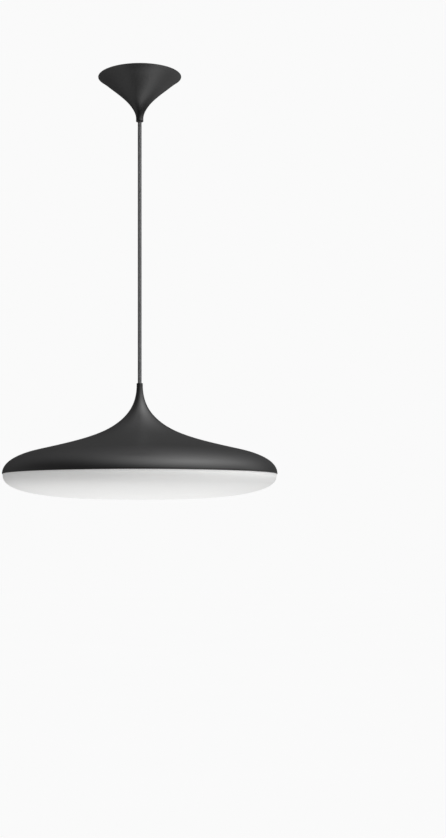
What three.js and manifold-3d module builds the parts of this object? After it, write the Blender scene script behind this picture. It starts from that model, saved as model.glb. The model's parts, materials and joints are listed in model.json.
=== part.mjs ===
// Pendant lamp: wide trumpet-shaped metal shade with an opal bowl diffuser, hung by one round cable from a trumpet-shaped ceiling canopy.
// Millimetres, +Z up. The origin is the centre of the ceiling plate's upper face, which lies against the ceiling; the lamp hangs below it.
import * as THREE from "three";
import { mergeVertices } from "three/addons/utils/BufferGeometryUtils.js";
import Module from "manifold-3d";

const wasm = await Module();
wasm.setup();

// ---------------------------------------------------------------- driving dimensions
const CABLE_R = 2.95; // suspension cable, 5.9 mm over its textile braid
const CABLE_BORE_R = 3.28; // every hole that the cable runs through
const GAP = 0.3; // running and assembly clearance between neighbours

const CANOPY_T = 1.0; // canopy wall
const CANOPY = [
  // outer profile of the canopy, [radius, z], from the ceiling rim down to the mouth
  [71.6, -0.3],
  [71.9, -1.2],
  [70.4, -2.4],
  [62.8, -7.0],
  [53.2, -14.2],
  [43.3, -22.0],
  [33.9, -30.0],
  [25.2, -38.0],
  [17.9, -46.0],
  [12.3, -54.0],
  [8.6, -62.0],
  [6.8, -69.5],
  [6.3, -76.4],
];
const MOUTH_Z = -76.4; // lower lip of the canopy, where the cable bends when the lamp swings

const SHADE_T = 1.0; // shade wall
const SHADE = [
  // outer profile of the shade, [radius, z], from the neck's top to the rim
  [5.2, -533.0],
  [5.5, -541.0],
  [6.2, -549.0],
  [7.4, -557.0],
  [10.0, -565.0],
  [14.6, -575.0],
  [21.3, -585.0],
  [30.7, -595.0],
  [46.3, -607.0],
  [69.5, -619.0],
  [100.2, -630.0],
  [137.5, -640.2],
  [179.0, -650.2],
  [209.8, -660.2],
  [227.1, -670.2],
  [235.4, -680.2],
  [238.3, -691.2],
];
const NECK_Z = -533.0;
const RIM_Z = -691.2;
const RIM_R = 238.3;

const BOWL_EDGE_Z = -691.6; // upper edge of the visible bowl, just below the shade's rim
const BOWL_R = 237.4;
const BOWL_DEPTH = 43.2;
const BOWL_POWER = 2.7; // how square the bowl's corner is
const BOWL_T = 2.5;
const SPIGOT_R = 233.8; // ring on the bowl that goes up inside the shade
const SPIGOT_T = 2.5;
const SPIGOT_TOP_Z = -684.0;

const PLATE_R = 58; // ceiling plate
const PLATE_T = 1.5;
const SLOT_X = 41; // centre of each fixing slot
const SLOT_L = 20;
const SLOT_W = 5.5;
const ENTRY_Y = -32; // centre of the mains entry hole
const ENTRY_R = 9;

const STIRRUP_BASE_Z = -19; // upper face of the stirrup's base
const STIRRUP_T = 1.5;
const STIRRUP_W = 18;

const LED_PLATE_R = 188;
const LED_PLATE_Z = -666.1; // upper face
const LED_PLATE_T = 1.5;

const SEG_BIG = 40; // facets round the shade and bowl
const SEG_MID = 32; // facets round the canopy
const SEG_SMALL = 12; // facets round screws and bushes

// ---------------------------------------------------------------- finishes
const finish = (color, roughness, metalness) =>
  new THREE.MeshStandardMaterial({ color, roughness, metalness });
const BLACK_PAINT = finish(0x2b2b2c, 0.55, 0.0);
const BLACK_CABLE = finish(0x3a3a3b, 0.9, 0.0);
const BLACK_RUBBER = finish(0x1c1c1c, 0.8, 0.0);
const OPAL = finish(0xf2f2f0, 0.35, 0.0);
const WHITE_PLASTIC = finish(0xeceae4, 0.45, 0.0);
const GREY_PLASTIC = finish(0x3d4043, 0.5, 0.0);
const ZINC = finish(0xb9bcc0, 0.35, 0.9);
const BRASS = finish(0xc9a348, 0.3, 0.95);
const ALUMINIUM = finish(0xd8dadc, 0.4, 0.8);
const WHITE_COAT = finish(0xf4f4f2, 0.5, 0.0);
const SPRING_STEEL = finish(0xc2c4c7, 0.25, 1.0);
const PCB_GREEN = finish(0x1f5a3a, 0.5, 0.0);
const WIRE_BROWN = finish(0x6b3a1f, 0.5, 0.0);
const WIRE_BLUE = finish(0x2b5fa8, 0.5, 0.0);
const WIRE_EARTH = finish(0x6f9a2f, 0.5, 0.0);
const WIRE_RED = finish(0xa82424, 0.5, 0.0);
const WIRE_BLACK = finish(0x202020, 0.5, 0.0);

// ---------------------------------------------------------------- helpers
// A closed geometry as a manifold-3d solid, turned to face out if it doesn't.
function solid(geometry) {
  const g = geometry.clone();
  g.deleteAttribute("normal");
  g.deleteAttribute("uv");
  const merged = mergeVertices(g, 1e-4);
  const index = [];
  const all = merged.index.array;
  for (let i = 0; i < all.length; i += 3) {
    const [a, b, c] = [all[i], all[i + 1], all[i + 2]];
    if (a !== b && b !== c && c !== a) index.push(a, b, c);
  }
  const vertProperties = new Float32Array(merged.attributes.position.array);
  const make = (tri) =>
    new wasm.Manifold(
      new wasm.Mesh({ numProp: 3, vertProperties, triVerts: tri }),
    );
  let made = make(new Uint32Array(index));
  if (made.volume() < 0) {
    const turned = new Uint32Array(index);
    for (let i = 0; i < turned.length; i += 3)
      [turned[i + 1], turned[i + 2]] = [turned[i + 2], turned[i + 1]];
    made = make(turned);
  }
  return made;
}

function geometryOf(made) {
  const m = made.getMesh();
  const v = new Float32Array(m.numVert * 3);
  for (let i = 0; i < m.numVert; i++)
    v.set(m.vertProperties.subarray(i * m.numProp, i * m.numProp + 3), i * 3);
  const g = new THREE.BufferGeometry();
  g.setAttribute("position", new THREE.BufferAttribute(v, 3));
  g.setIndex(new THREE.BufferAttribute(new Uint32Array(m.triVerts), 1));
  g.computeVertexNormals();
  return g;
}

// A ring or disc turned about Z from a closed profile of [radius, z] points.
function turned(profile, segments) {
  const pts = profile.map(([r, z]) => new THREE.Vector2(r, z));
  if (!(profile[0][0] === 0 && profile.at(-1)[0] === 0))
    pts.push(pts[0].clone());
  const g = new THREE.LatheGeometry(pts, segments);
  g.rotateX(Math.PI / 2);
  return solid(g);
}

// A plain cylinder on Z between two heights.
function rod(r, z0, z1, segments = SEG_SMALL, r1 = r) {
  const g = new THREE.CylinderGeometry(r1, r, z1 - z0, segments);
  g.rotateX(Math.PI / 2);
  g.translate(0, 0, (z0 + z1) / 2);
  return solid(g);
}

function hex(acrossFlats, z0, z1) {
  return rod(acrossFlats / Math.sqrt(3), z0, z1, 6);
}

function box(x0, x1, y0, y1, z0, z1) {
  const g = new THREE.BoxGeometry(x1 - x0, y1 - y0, z1 - z0);
  g.translate((x0 + x1) / 2, (y0 + y1) / 2, (z0 + z1) / 2);
  return solid(g);
}

// A flat outline in X and Z, given a width along Y.
function strip(points, width) {
  const g = new THREE.ExtrudeGeometry(
    new THREE.Shape(points.map(([x, z]) => new THREE.Vector2(x, z))),
    { depth: width, bevelEnabled: false },
  );
  g.translate(0, 0, -width / 2);
  g.rotateX(Math.PI / 2);
  return solid(g);
}

// A flat outline in X and Y, with rounded corners, between two heights.
function slab(w, d, corner, z0, z1, cx = 0, cy = 0) {
  const s = new THREE.Shape();
  const [x, y, c] = [w / 2, d / 2, corner];
  s.moveTo(-x + c, -y);
  s.lineTo(x - c, -y);
  s.quadraticCurveTo(x, -y, x, -y + c);
  s.lineTo(x, y - c);
  s.quadraticCurveTo(x, y, x - c, y);
  s.lineTo(-x + c, y);
  s.quadraticCurveTo(-x, y, -x, y - c);
  s.lineTo(-x, -y + c);
  s.quadraticCurveTo(-x, -y, -x + c, -y);
  const g = new THREE.ExtrudeGeometry(s, {
    depth: z1 - z0,
    bevelEnabled: false,
    curveSegments: 4,
  });
  g.translate(cx, cy, z0);
  return solid(g);
}

// A round wire or cable along a smooth curve through points.
function tube(points, r, sides, steps) {
  const outline = new THREE.Shape();
  for (let i = 0; i < sides; i++) {
    const a = (2 * Math.PI * i) / sides;
    if (i) outline.lineTo(r * Math.cos(a), r * Math.sin(a));
    else outline.moveTo(r, 0);
  }
  const path = new THREE.CatmullRomCurve3(
    points.map(([x, y, z]) => new THREE.Vector3(x, y, z)),
    false,
    "centripetal",
  );
  return solid(
    new THREE.ExtrudeGeometry(outline, {
      extrudePath: path,
      steps,
      bevelEnabled: false,
    }),
  );
}

// The same profile moved in by the wall's thickness.
function inset(profile, t) {
  return profile.map(([r, z], i) => {
    const [a, b] = [
      profile[Math.max(i - 1, 0)],
      profile[Math.min(i + 1, profile.length - 1)],
    ];
    const [dr, dz] = [b[0] - a[0], b[1] - a[1]];
    const len = Math.hypot(dr, dz);
    return [r + (dz / len) * t, z - (dr / len) * t];
  });
}

// A screw along -Z: a round head below, its shank above, with a slot in the head.
function panScrew(headR, headZ0, headZ1, shankR, tipZ) {
  return rod(headR * 0.82, headZ0, headZ1, 10, headR)
    .add(rod(shankR, headZ1 - 0.4, tipZ, 8))
    .subtract(
      box(
        -headR * 0.6,
        headR * 0.6,
        -0.4,
        0.4,
        headZ0 - 1,
        headZ0 + (headZ1 - headZ0) * 0.5,
      ),
    );
}

const lamp = new THREE.Group();
lamp.name = "pendant_lamp";
const groups = {};
for (const name of [
  "ceiling",
  "canopy",
  "grommet",
  "cable",
  "bush",
  "shade",
  "bowl",
]) {
  groups[name] = new THREE.Group();
  lamp.add(groups[name]);
}
function add(group, name, made, material) {
  const mesh = new THREE.Mesh(geometryOf(made), material);
  mesh.name = name;
  groups[group].add(mesh);
}

// ---------------------------------------------------------------- ceiling plate and what hangs on it
let ceilingPlate = rod(PLATE_R, -PLATE_T, 0, SEG_MID);
for (const side of [-1, 1]) {
  const x = side * SLOT_X;
  const half = (SLOT_L - SLOT_W) / 2;
  ceilingPlate = ceilingPlate
    .subtract(
      box(x - half, x + half, -SLOT_W / 2, SLOT_W / 2, -PLATE_T - 1, 1),
    )
    .subtract(
      rod(SLOT_W / 2, -PLATE_T - 1, 1, 12).translate([x - half, 0, 0]),
    )
    .subtract(
      rod(SLOT_W / 2, -PLATE_T - 1, 1, 12).translate([x + half, 0, 0]),
    )
    .subtract(rod(2.2, -PLATE_T - 1, 1, 8).translate([side * 21, 0, 0]));
}
ceilingPlate = ceilingPlate
  .subtract(rod(ENTRY_R, -PLATE_T - 1, 1, 16).translate([0, ENTRY_Y, 0]))
  .subtract(rod(2.2, -PLATE_T - 1, 1, 8).translate([31, 34, 0]));
// turned-down edge that stiffens the plate
ceilingPlate = ceilingPlate.add(
  turned(
    [
      [PLATE_R - 1.5, -4.5],
      [PLATE_R, -4.5],
      [PLATE_R, -0.2],
      [PLATE_R - 1.5, -0.2],
    ],
    SEG_MID,
  ),
);
add("ceiling", "ceiling_plate", ceilingPlate, ZINC);

const under = -PLATE_T - GAP; // the first height below the plate
const stirrup = strip(
  [
    [26, under],
    [15, under],
    [15, STIRRUP_BASE_Z],
    [-15, STIRRUP_BASE_Z],
    [-15, under],
    [-26, under],
    [-26, under - STIRRUP_T],
    [-16.5, under - STIRRUP_T],
    [-16.5, STIRRUP_BASE_Z - STIRRUP_T],
    [16.5, STIRRUP_BASE_Z - STIRRUP_T],
    [16.5, under - STIRRUP_T],
    [26, under - STIRRUP_T],
  ],
  STIRRUP_W,
)
  .subtract(rod(5.35, STIRRUP_BASE_Z - 4, STIRRUP_BASE_Z + 2, 20))
  .subtract(rod(2.2, -6, 0, 12).translate([21, 0, 0]))
  .subtract(rod(2.2, -6, 0, 12).translate([-21, 0, 0]));
add("ceiling", "grip_stirrup", stirrup, ZINC);

for (const [name, x] of [
  ["stirrup_screw_left", -21],
  ["stirrup_screw_right", 21],
])
  add(
    "ceiling",
    name,
    panScrew(3.6, -6.0, -3.6, 1.85, -0.4).translate([x, 0, 0]),
    ZINC,
  );

// cord grip: threaded spigot up through the stirrup, hexagon and nose below
const gripTop = -12;
const gripFace = STIRRUP_BASE_Z - STIRRUP_T - GAP; // -20.8
const grip = rod(5.0, gripFace - 1, gripTop, 20)
  .add(hex(15, gripFace - 8, gripFace))
  .add(rod(4.6, gripFace - 13, gripFace - 7.9, 20, 6.6))
  .subtract(rod(CABLE_BORE_R, -40, 0, 20))
  .subtract(
    rod(1.8, 0, 12, 12)
      .rotate([0, 90, 0])
      .translate([2, 0, gripFace - 4]),
  );
add("ceiling", "cord_grip_body", grip, WHITE_PLASTIC);
add(
  "ceiling",
  "cord_grip_nut",
  hex(14, STIRRUP_BASE_Z + GAP, STIRRUP_BASE_Z + GAP + 3).subtract(
    rod(5.35, -25, -10, 20),
  ),
  ZINC,
);
add(
  "ceiling",
  "cord_grip_screw",
  rod(1.45, 3.7, 8.2, 12)
    .subtract(box(-1.6, 1.6, -0.3, 0.3, 7.4, 9))
    .rotate([0, 90, 0])
    .translate([0, 0, gripFace - 4]),
  BRASS,
);

// three-pole terminal block beside the grip
const BLOCK = { x: 17, y0: 14, y1: 32, z0: -18, z1: under };
let block = box(-BLOCK.x, BLOCK.x, BLOCK.y0, BLOCK.y1, BLOCK.z0 + 5, BLOCK.z1);
const poles = [-11, 0, 11];
for (const x of poles)
  block = block.add(
    box(x - 4.6, x + 4.6, BLOCK.y0 + 2.5, BLOCK.y1 - 2.5, BLOCK.z0, -10),
  );
for (const x of poles) {
  block = block
    .subtract(
      rod(2.1, 0, 40, 12)
        .rotate([-90, 0, 0])
        .translate([x, 5, -8.2]),
    )
    .subtract(rod(2.0, -20, -8.2, 12).translate([x, 19.4, 0]))
    .subtract(rod(2.0, -20, -8.2, 12).translate([x, 26.6, 0]));
}
add("ceiling", "terminal_block", block, WHITE_PLASTIC);
// the pendant's three conductors are held by the front row of screws
for (const [name, x] of [
  ["terminal_screw_live", -11],
  ["terminal_screw_neutral", 0],
  ["terminal_screw_earth", 11],
])
  add(
    "ceiling",
    name,
    rod(1.6, -16.4, -9.6, 12)
      .subtract(box(-1.7, 1.7, -0.3, 0.3, -18, -15.6))
      .translate([x, 19.4, 0]),
    ZINC,
  );

// conductors from the top of the cable to the block
const leads = [
  ["live_lead", -11, -150, WIRE_BROWN],
  ["neutral_lead", 0, 90, WIRE_BLUE],
  ["earth_lead", 11, -30, WIRE_EARTH],
];
for (const [name, x, deg, material] of leads) {
  const a = (deg * Math.PI) / 180;
  const [sx, sy] = [1.35 * Math.cos(a), 1.35 * Math.sin(a)];
  add(
    "ceiling",
    name,
    tube(
      [
        [sx, sy, -11.6],
        [sx, sy, -10.2],
        [sx * 1.1 + x * 0.06, sy + 1.0, -8.4],
        [sx * 0.6 + x * 0.4, 4.6, -6.4],
        [x * 0.86, 9.2, -6.9],
        [x, 12.4, -8.2],
        [x, 17.0, -8.2],
      ],
      0.9,
      6,
      12,
    ),
    material,
  );
}

add(
  "ceiling",
  "earth_tag",
  rod(4.2, -2.7, -1.8, 16)
    .translate([31, 34, 0])
    .add(box(21.5, 30, 33.0, 35.0, -2.7, -1.8))
    .subtract(rod(2.2, -6, 0, 12).translate([31, 34, 0])),
  BRASS,
);
add(
  "ceiling",
  "earth_screw",
  panScrew(3.6, -5.4, -3.0, 1.85, -0.4).translate([31, 34, 0]),
  ZINC,
);
add(
  "ceiling",
  "earth_bond_lead",
  tube(
    [
      [11, 29.4, -8.2],
      [11, 33.2, -8.2],
      [12.6, 36.0, -7.0],
      [16.0, 36.0, -5.2],
      [20.0, 34.4, -4.2],
      [26.0, 34.0, -3.95],
    ],
    0.9,
    6,
    12,
  ),
  WIRE_EARTH,
);

add(
  "ceiling",
  "mains_entry_grommet",
  turned(
    [
      [6.6, -3.6],
      [11.5, -3.6],
      [11.5, under],
      [ENTRY_R - GAP, under],
      [ENTRY_R - GAP, -0.3],
      [6.6, -0.3],
    ],
    16,
  ).translate([0, ENTRY_Y, 0]),
  BLACK_RUBBER,
);

// the cable's upper length, from the grip down to the canopy's mouth
add(
  "ceiling",
  "cable_upper",
  tube(
    [
      [0, 0, -12.0],
      [0, 0, -30],
      [0, 0, -55],
      [0, 0, -76.2],
    ],
    CABLE_R,
    12,
    6,
  ),
  BLACK_CABLE,
);

// ---------------------------------------------------------------- canopy
const canopyOuter = CANOPY.map(([r, z]) => [r, z]);
const canopyInner = inset(canopyOuter, CANOPY_T);
canopyInner[0] = [CANOPY[0][0] - CANOPY_T, CANOPY[0][1]];
canopyInner[canopyInner.length - 1] = [CANOPY.at(-1)[0] - CANOPY_T, MOUTH_Z];
const lockZ = -63.5; // height of the locking screw
add(
  "canopy",
  "canopy_shell",
  turned([...canopyOuter, ...canopyInner.reverse()], SEG_MID).subtract(
    rod(1.8, 0, 14, 12)
      .rotate([-90, 0, 0])
      .translate([0, 2, lockZ]),
  ),
  BLACK_PAINT,
);
add(
  "canopy",
  "canopy_lock_collar",
  turned(
    [
      [CABLE_BORE_R, -56],
      [CABLE_BORE_R, -71.4],
      [5.0, -71.4],
      [5.3, -69.0],
      [6.6, -62.4],
      [8.6, -57.2],
      [8.6, -56],
    ],
    20,
  ).subtract(
    rod(1.8, 0, 14, 12)
      .rotate([-90, 0, 0])
      .translate([0, 2, lockZ]),
  ),
  WHITE_PLASTIC,
);
add(
  "canopy",
  "canopy_lock_screw",
  rod(1.45, 3.6, 7.6, 12)
    .subtract(rod(0.75, 6.2, 9, 6))
    .rotate([-90, 0, 0])
    .translate([0, 0, lockZ]),
  ZINC,
);

// ---------------------------------------------------------------- bush in the canopy's mouth, which turns with the cable
add(
  "grommet",
  "mouth_grommet",
  turned(
    [
      [CABLE_BORE_R, -72.0],
      [CABLE_BORE_R, -76.6],
      [3.7, -77.2],
      [4.5, -77.2],
      [4.9, -76.7],
      [4.9, -72.0],
    ],
    20,
  ),
  BLACK_RUBBER,
);

// ---------------------------------------------------------------- suspension cable
add(
  "cable",
  "suspension_cable",
  tube(
    [
      [0, 0, -77.4],
      [0, 0, -200],
      [0, 0, -350],
      [0, 0, -533.8],
    ],
    CABLE_R,
    12,
    16,
  ),
  BLACK_CABLE,
);

// ---------------------------------------------------------------- bush in the shade's neck
add(
  "bush",
  "neck_bush",
  turned(
    [
      [CABLE_BORE_R, -529.6],
      [CABLE_BORE_R, -534.0],
      [3.88, -534.0],
      [3.88, -530.4],
      [3.6, -529.6],
    ],
    20,
  ),
  BLACK_RUBBER,
);

// ---------------------------------------------------------------- shade
const shadeOuter = SHADE.map(([r, z]) => [r, z]);
const shadeInner = inset(shadeOuter, SHADE_T);
shadeInner[0] = [SHADE[0][0] - SHADE_T, NECK_Z];
shadeInner[shadeInner.length - 1] = [RIM_R - SHADE_T, RIM_Z];
// the spun sheet in four rings, each from one profile point to another
for (const [name, from, to] of [
  ["shade_neck", 0, 6],
  ["shade_flare", 6, 9],
  ["shade_flank", 9, 13],
  ["shade_skirt", 13, SHADE.length - 1],
])
  add(
    "shade",
    name,
    turned(
      [
        ...shadeOuter.slice(from, to + 1),
        ...shadeInner.slice(from, to + 1).reverse(),
      ],
      SEG_BIG,
    ),
    BLACK_PAINT,
  );

// cone that the shade hangs on, inside its neck
const coneOuter = inset(shadeOuter, SHADE_T + 0.45).filter(
  ([, z]) => z < -566 && z > -591,
);
add(
  "shade",
  "support_cone",
  turned(
    [[5.35, coneOuter[0][1]], ...coneOuter, [5.35, coneOuter.at(-1)[1]]],
    24,
  ),
  ALUMINIUM,
);
const coneFoot = coneOuter.at(-1)[1];
add(
  "shade",
  "hollow_nipple",
  rod(5.0, -604.6, -569, 16).subtract(rod(3.4, -620, -560, 16)),
  ZINC,
);

// carrier strap under the cone, down to the LED plate
const top = coneFoot - GAP;
const LEG_X = 60;
const FOOT_Z = LED_PLATE_Z + GAP; // lower face of the feet
const carrier = strip(
  [
    [17, top],
    [-17, top],
    [-LEG_X, -625.6],
    [-LEG_X, FOOT_Z + 1.5],
    [-80, FOOT_Z + 1.5],
    [-80, FOOT_Z],
    [-LEG_X + 1.5, FOOT_Z],
    [-LEG_X + 1.5, -626.3],
    [-16.4, top - 1.5],
    [16.4, top - 1.5],
    [LEG_X - 1.5, -626.3],
    [LEG_X - 1.5, FOOT_Z],
    [80, FOOT_Z],
    [80, FOOT_Z + 1.5],
    [LEG_X, FOOT_Z + 1.5],
    [LEG_X, -625.6],
  ],
  18,
);
let carrierCut = carrier.subtract(rod(5.35, top - 6, top + 3, 20));
for (const x of [-70, 70])
  carrierCut = carrierCut.subtract(
    rod(1.9, FOOT_Z - 2, FOOT_Z + 4, 12).translate([x, 0, 0]),
  );
carrierCut = carrierCut.subtract(
  rod(1.9, 54, 64, 12)
    .rotate([0, 90, 0])
    .translate([0, 0, -636]),
);
add("shade", "carrier_bracket", carrierCut, ZINC);
add(
  "shade",
  "nipple_washer",
  turned(
    [
      [5.35, top - 1.8],
      [10, top - 1.8],
      [10, top - 3.0],
      [5.35, top - 3.0],
    ],
    20,
  ),
  ZINC,
);
add(
  "shade",
  "nipple_nut",
  hex(14, top - 7.8, top - 3.3).subtract(rod(5.35, -620, -580, 20)),
  ZINC,
);
const clampTop = top - 8.4;
add(
  "shade",
  "shade_cord_grip",
  hex(16, clampTop - 9, clampTop)
    .add(rod(4.8, clampTop - 16, clampTop - 8.9, 20, 7))
    .subtract(rod(5.35, -605.0, -560, 16))
    .subtract(rod(CABLE_BORE_R, -640, -590, 16))
    .subtract(
      rod(1.8, 0, 12, 12)
        .rotate([0, 90, 0])
        .translate([2, 0, clampTop - 12.5]),
    ),
  WHITE_PLASTIC,
);
add(
  "shade",
  "shade_grip_screw",
  rod(1.45, 3.7, 7.4, 12)
    .subtract(box(-1.6, 1.6, -0.3, 0.3, 6.8, 9))
    .rotate([0, 90, 0])
    .translate([0, 0, clampTop - 12.5]),
  BRASS,
);
const tailEnd = clampTop - 20;
add(
  "shade",
  "cable_tail",
  tube(
    [
      [0, 0, -534.8],
      [0, 0, -560],
      [0, 0, -590],
      [0, 0, tailEnd],
    ],
    CABLE_R,
    12,
    4,
  ),
  BLACK_CABLE,
);

// LED driver in its own box on the plate
const DRIVER = { w: 104, d: 46, z0: LED_PLATE_Z + GAP, z1: -646.0 };
add(
  "shade",
  "driver_case",
  slab(DRIVER.w, DRIVER.d, 4, DRIVER.z0, DRIVER.z1)
    .subtract(
      slab(DRIVER.w - 3.2, DRIVER.d - 3.2, 3, DRIVER.z0 + 1.6, DRIVER.z1 + 2),
    )
    .subtract(box(-60, -40, -8, 8, -651, -640))
    .subtract(box(40, 60, -8, 8, -651, -640)),
  GREY_PLASTIC,
);
add(
  "shade",
  "driver_cover",
  slab(DRIVER.w, DRIVER.d, 4, DRIVER.z1 + GAP, DRIVER.z1 + GAP + 4.5).subtract(
    slab(DRIVER.w - 3.2, DRIVER.d - 3.2, 3, DRIVER.z1 - 1, DRIVER.z1 + GAP + 3),
  ),
  GREY_PLASTIC,
);
const pcbZ = DRIVER.z0 + 1.6 + 2.4;
add(
  "shade",
  "driver_board",
  box(-48, 48, -20, 20, pcbZ, pcbZ + 1.6)
    .add(box(-10, 12, -14, 14, pcbZ + 1.5, pcbZ + 15)) // transformer
    .add(rod(5.5, 0, 13, 16).translate([22, 8, pcbZ + 1.5])) // capacitor
    .add(rod(4, 0, 11, 16).translate([22, -8, pcbZ + 1.5])) // capacitor
    .add(box(-26, -15, -10, 10, pcbZ + 1.5, pcbZ + 11)) // mains choke
    .add(box(30, 42, -17, 17, pcbZ + 1.5, pcbZ + 4)) // radio module
    .add(box(-45, -33, -10, 10, pcbZ + 1.5, pcbZ + 9)), // input terminal
  PCB_GREEN,
);

// conductors inside the shade
const tail = tailEnd - 0.4;
for (const [name, deg, end, material] of [
  ["driver_lead_live", 150, [-47, 4, -648.4], WIRE_BROWN],
  ["driver_lead_neutral", -90, [-47, -4, -648.4], WIRE_BLUE],
]) {
  const a = (deg * Math.PI) / 180;
  const [sx, sy] = [1.35 * Math.cos(a), 1.35 * Math.sin(a)];
  add(
    "shade",
    name,
    tube(
      [
        [sx, sy, tail],
        [sx, sy, tail - 1.4],
        [sx - 3, sy * 1.6, tail - 5],
        [-16, end[1], tail - 9.0],
        [-38, end[1], -636],
        [-54, end[1], -639],
        [-55.2, end[1], -645.5],
        [-51.5, end[1], -648.4],
        end,
      ],
      0.9,
      6,
      16,
    ),
    material,
  );
}
{
  const a = (30 * Math.PI) / 180;
  const [sx, sy] = [1.35 * Math.cos(a), 1.35 * Math.sin(a)];
  add(
    "shade",
    "shade_earth_lead",
    tube(
      [
        [sx, sy, tail],
        [sx, sy, tail - 1.4],
        [sx + 3, sy + 0.4, tail - 5],
        [20, 1.5, tail - 8],
        [42, 2.6, -633],
        [51, 2.6, -634.0],
        [54.4, 2.6, -634.6],
      ],
      0.9,
      6,
      12,
    ),
    WIRE_EARTH,
  );
}
add(
  "shade",
  "shade_earth_screw",
  panScrew(3.2, 0, 2.2, 1.6, 8)
    .rotate([0, 90, 0])
    .translate([55.2, 0, -636]),
  BRASS,
);

// LED plate, its boards and the reflector round it
let plate = turned(
  [
    [0, LED_PLATE_Z - LED_PLATE_T],
    [LED_PLATE_R, LED_PLATE_Z - LED_PLATE_T],
    [LED_PLATE_R, LED_PLATE_Z],
    [0, LED_PLATE_Z],
  ],
  SEG_BIG,
);
for (const x of [-70, 70])
  plate = plate.subtract(rod(1.9, -670, -660, 12).translate([x, 0, 0]));
plate = plate.subtract(rod(4, -670, -660, 16).translate([0, 74, 0]));
const REFLECTOR_SCREWS = [90, 210, 330];
for (const deg of REFLECTOR_SCREWS)
  plate = plate.subtract(
    rod(1.7, -670, -660, 12)
      .translate([183, 0, 0])
      .rotate([0, 0, deg]),
  );
add("shade", "led_plate", plate, WHITE_COAT);

let n = 0;
for (const x of [-70, 70])
  add(
    "shade",
    `plate_screw_${++n}`,
    panScrew(3.2, -670.2, -667.9, 1.55, -662.6).translate([x, 0, 0]),
    ZINC,
  );

const BOARD_Z1 = LED_PLATE_Z - LED_PLATE_T - GAP; // -667.9
const BOARD_Z0 = BOARD_Z1 - 1.2;
const chips = (board, rings) => {
  for (const [r, count, start] of rings)
    for (let i = 0; i < count; i++)
      board = board.add(
        box(r - 1.75, r + 1.75, -1.4, 1.4, BOARD_Z0 - 0.8, BOARD_Z0 + 0.3).rotate(
          [0, 0, start + (360 * i) / count],
        ),
      );
  return board;
};
add(
  "shade",
  "led_board_inner",
  chips(rod(54, BOARD_Z0, BOARD_Z1, 24), [
    [18, 6, 0],
    [42, 10, 15],
  ]),
  WHITE_COAT,
);
add(
  "shade",
  "led_board_outer",
  chips(
    turned(
      [
        [86, BOARD_Z0],
        [162, BOARD_Z0],
        [162, BOARD_Z1],
      [86, BOARD_Z1],
    ],
    SEG_MID,
  ),
    [
      [100, 10, 0],
      [125, 14, 7.5],
      [150, 18, 0],
    ],
  ),
  WHITE_COAT,
);
for (const [name, points, material] of [
  [
    "led_lead_positive",
    [
      [47, -3, -648.4],
      [52, -3, -648.4],
      [54.4, -2.2, -649.8],
      [54.8, 3, -653],
      [54.6, 12, -656],
      [52, 26, -659.5],
      [38, 50, -664.4],
      [14, 69, -664.6],
      [1, 72.4, -665.0],
      [-1.3, 73.3, -667.4],
      [-1.3, 75, -670],
      [-1.3, 80, -671],
      [-1.3, 89, -671],
    ],
    WIRE_RED,
  ],
  [
    "led_lead_negative",
    [
      [47, 3, -648.4],
      [52, 3, -648.4],
      [54.6, 4.4, -648.6],
      [55.4, 12, -650],
      [54, 28, -655],
      [42, 55, -661],
      [18, 74, -662.6],
      [5, 76.6, -663.6],
      [1.4, 75.6, -666],
      [1.3, 75.9, -669],
      [1.3, 80, -671],
      [1.3, 89, -671],
    ],
    WIRE_BLACK,
  ],
])
  add("shade", name, tube(points, 0.8, 6, 20), material);

// white reflector ring from the plate's edge out to the bowl's spigot
add(
  "shade",
  "reflector_ring",
  turned(
    [
      [178, BOARD_Z1],
      [178, BOARD_Z1 - 1.4],
      [190.4, BOARD_Z1 - 1.4],
      [225.2, -683.4],
      [225.2, -690.0],
      [227.0, -690.0],
      [227.0, -682.2],
      [191.0, BOARD_Z1],
    ],
    SEG_BIG,
  ).subtract(
    REFLECTOR_SCREWS.map((deg) =>
      rod(1.7, -675, -660, 12)
        .translate([183, 0, 0])
        .rotate([0, 0, deg]),
    ).reduce((a, b) => a.add(b)),
  ),
  WHITE_COAT,
);
n = 0;
for (const deg of REFLECTOR_SCREWS)
  add(
    "shade",
    `reflector_screw_${++n}`,
    panScrew(2.9, -671.6, -669.6, 1.35, -663.5)
      .translate([183, 0, 0])
      .rotate([0, 0, deg]),
    ZINC,
  );

// leaf springs between the reflector's wall and the bowl's spigot
n = 0;
for (const deg of [30, 150, 270])
  add(
    "shade",
    `bowl_spring_${++n}`,
    strip(
      [
        [227.6, -689.6],
        [228.2, -689.6],
        [230.1, -686.8],
      [230.1, -685.8],
      [228.9, -682.4],
      [228.2, -682.4],
      [229.5, -686.2],
      [227.6, -689.0],
      ],
      14,
    ).rotate([0, 0, deg]),
    SPRING_STEEL,
  );

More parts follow.
